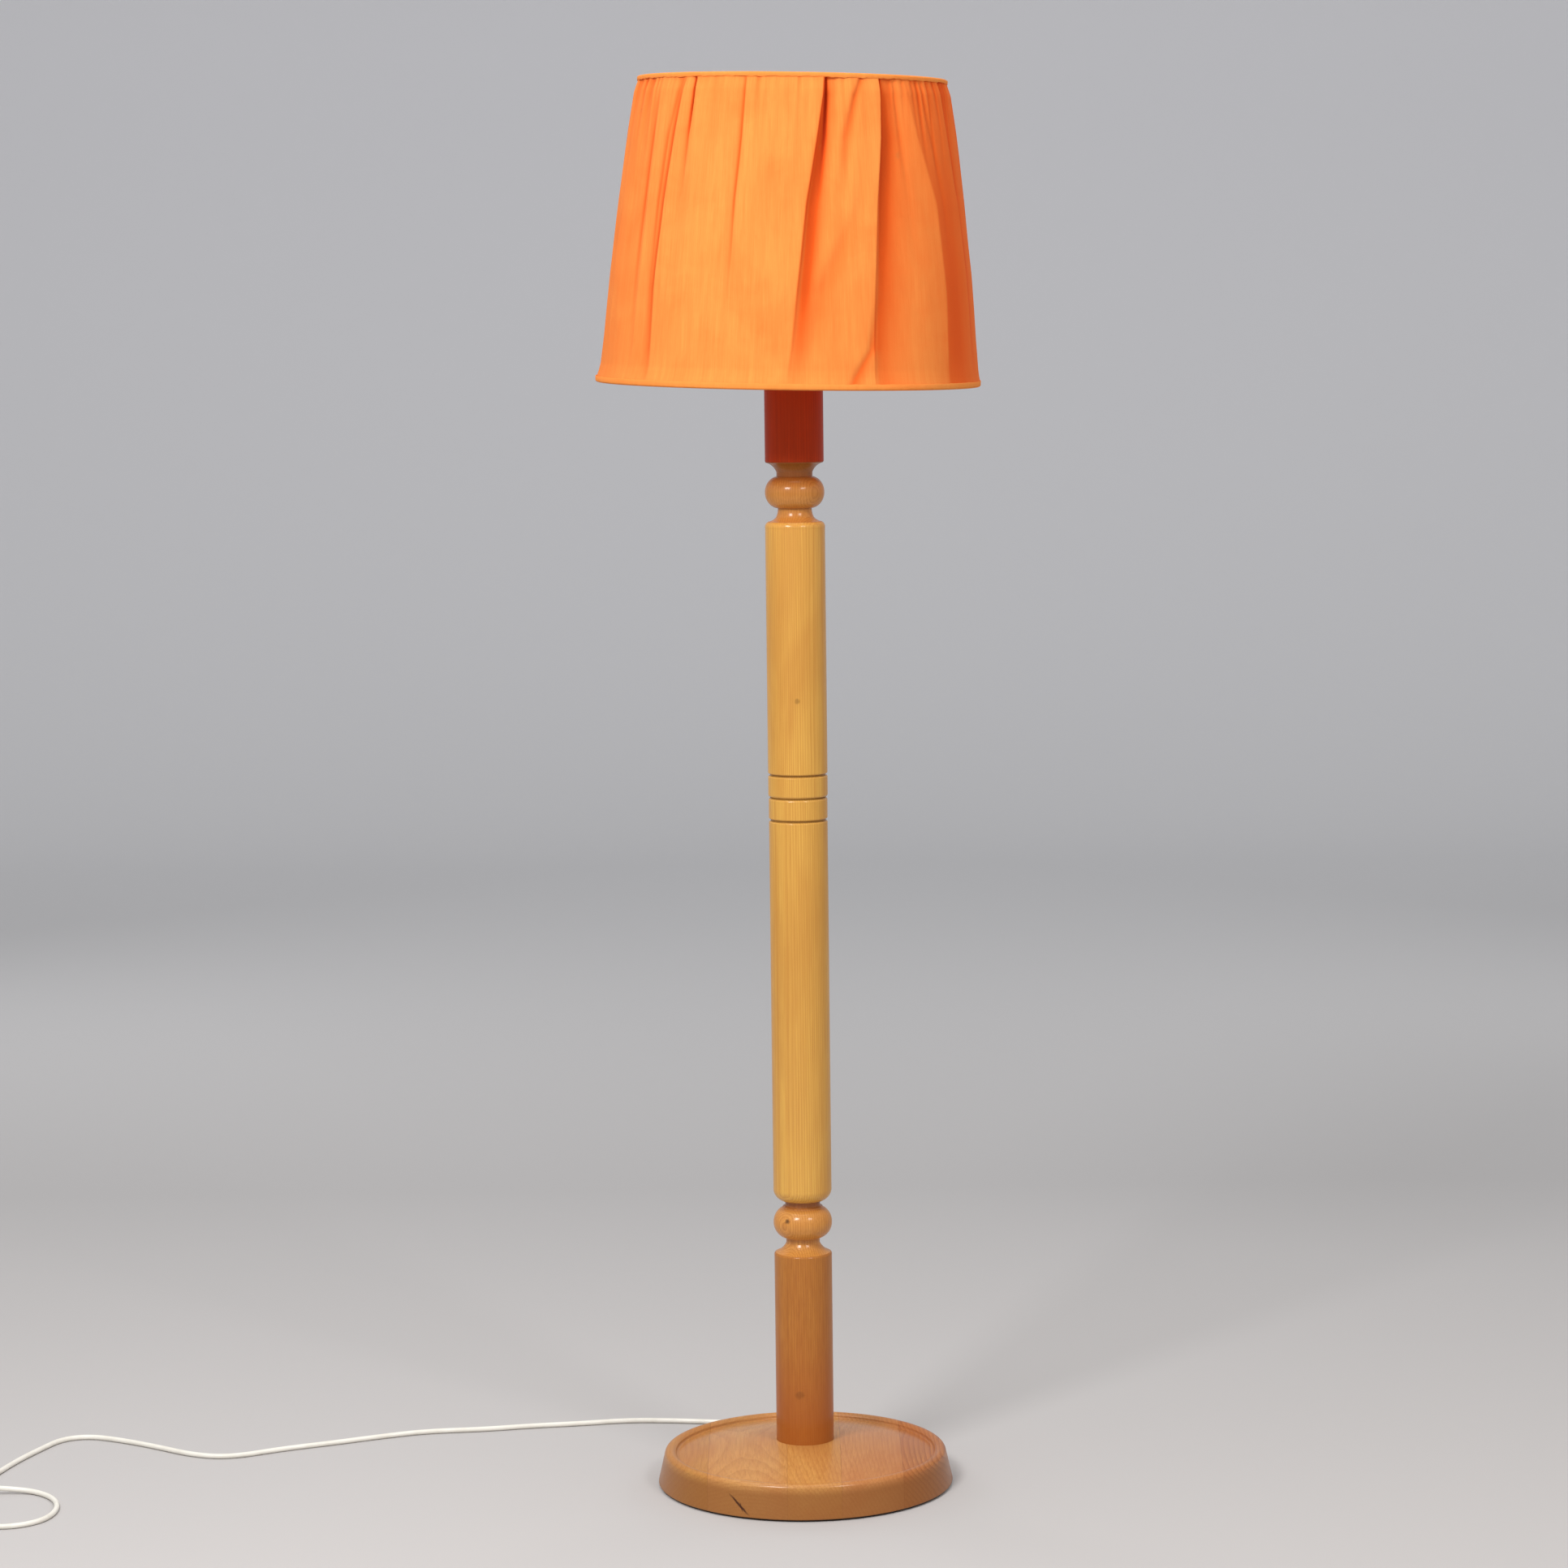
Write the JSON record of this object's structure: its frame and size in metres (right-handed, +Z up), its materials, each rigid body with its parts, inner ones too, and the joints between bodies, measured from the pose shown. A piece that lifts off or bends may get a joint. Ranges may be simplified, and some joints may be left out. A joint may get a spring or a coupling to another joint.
{
  "type": "floor lamp",
  "caption": "Floor lamp with a turned wooden candlestick column, dished round wooden base, gathered cloth drum shade and a white mains lead.",
  "frame": {"origin": "centre of the felt underside of the base, on the floor and on the column's axis", "axes": "+Z up along the column, -Y towards the viewer of the picture, +X to the viewer's right"},
  "size_m": [1.1852, 0.4324, 1.4443],
  "materials": {
    "pine_base": "varnished",
    "pine_shaft": "varnished",
    "pine_bead": "varnished",
    "felt": "matt felt",
    "iron": "as cast",
    "zinc_steel": "zinc plated",
    "holder_brass": "satin",
    "porcelain": "glazed",
    "contact_brass": "plain",
    "cap_metal": "plain",
    "bulb_glass": "frosted",
    "key_plastic": "gloss",
    "shade_wire": "white lacquer",
    "shade_cloth": "plain weave",
    "shade_trim": "plain weave",
    "cord_plastic": "smooth",
    "plug_plastic": "moulded",
    "pin_metal": "nickel plated"
  },
  "bodies": {
    "stand": {"base_felt": "felt", "base_disc": "pine_base", "base_weight": "iron", "weight_screws": "zinc_steel", "base_washer": "zinc_steel", "base_nut": "zinc_steel", "bottom_section": "pine_shaft", "lower_bead": "pine_bead", "lower_shaft": "pine_shaft", "upper_shaft": "pine_shaft", "upper_bead": "pine_bead", "top_section": "pine_shaft", "threaded_tube": "zinc_steel", "top_washer": "zinc_steel", "top_nut": "zinc_steel", "holder_cap": "holder_brass", "holder_body": "holder_brass", "holder_insert": "porcelain", "terminal_screws": "contact_brass", "screw_shell": "contact_brass", "centre_contact": "contact_brass", "shade_ring_nut": "holder_brass", "switch_bush": "holder_brass", "bulb_tip": "contact_brass", "bulb_cap": "cap_metal", "bulb_glass": "bulb_glass", "cord_grommet": "plug_plastic", "cord_clamp": "plug_plastic", "clamp_screws": "zinc_steel", "inner_cord": "cord_plastic", "cord_lead": "cord_plastic", "cord_coil": "cord_plastic", "cord_tail": "cord_plastic", "plug_body": "plug_plastic", "plug_pins": "pin_metal"},
    "shade": {"shade_spider": "shade_wire", "shade_top_ring": "shade_wire", "shade_bottom_ring": "shade_wire", "shade_ribs": "shade_wire", "shade_cloth": "shade_cloth", "shade_top_binding": "shade_trim", "shade_hem_binding": "shade_trim"},
    "key": {"switch_key": "key_plastic"}
  },
  "joints": [
    {"name": "shade_turn", "type": "hinge", "parent": "stand", "child": "shade", "pos_m": [0, 0, 1.2453], "axis": [0, 0, 1], "continuous": true},
    {"name": "switch_turn", "type": "hinge", "parent": "stand", "child": "key", "pos_m": [0.022, 0, 1.229], "axis": [1, 0, 0], "continuous": true}
  ]
}
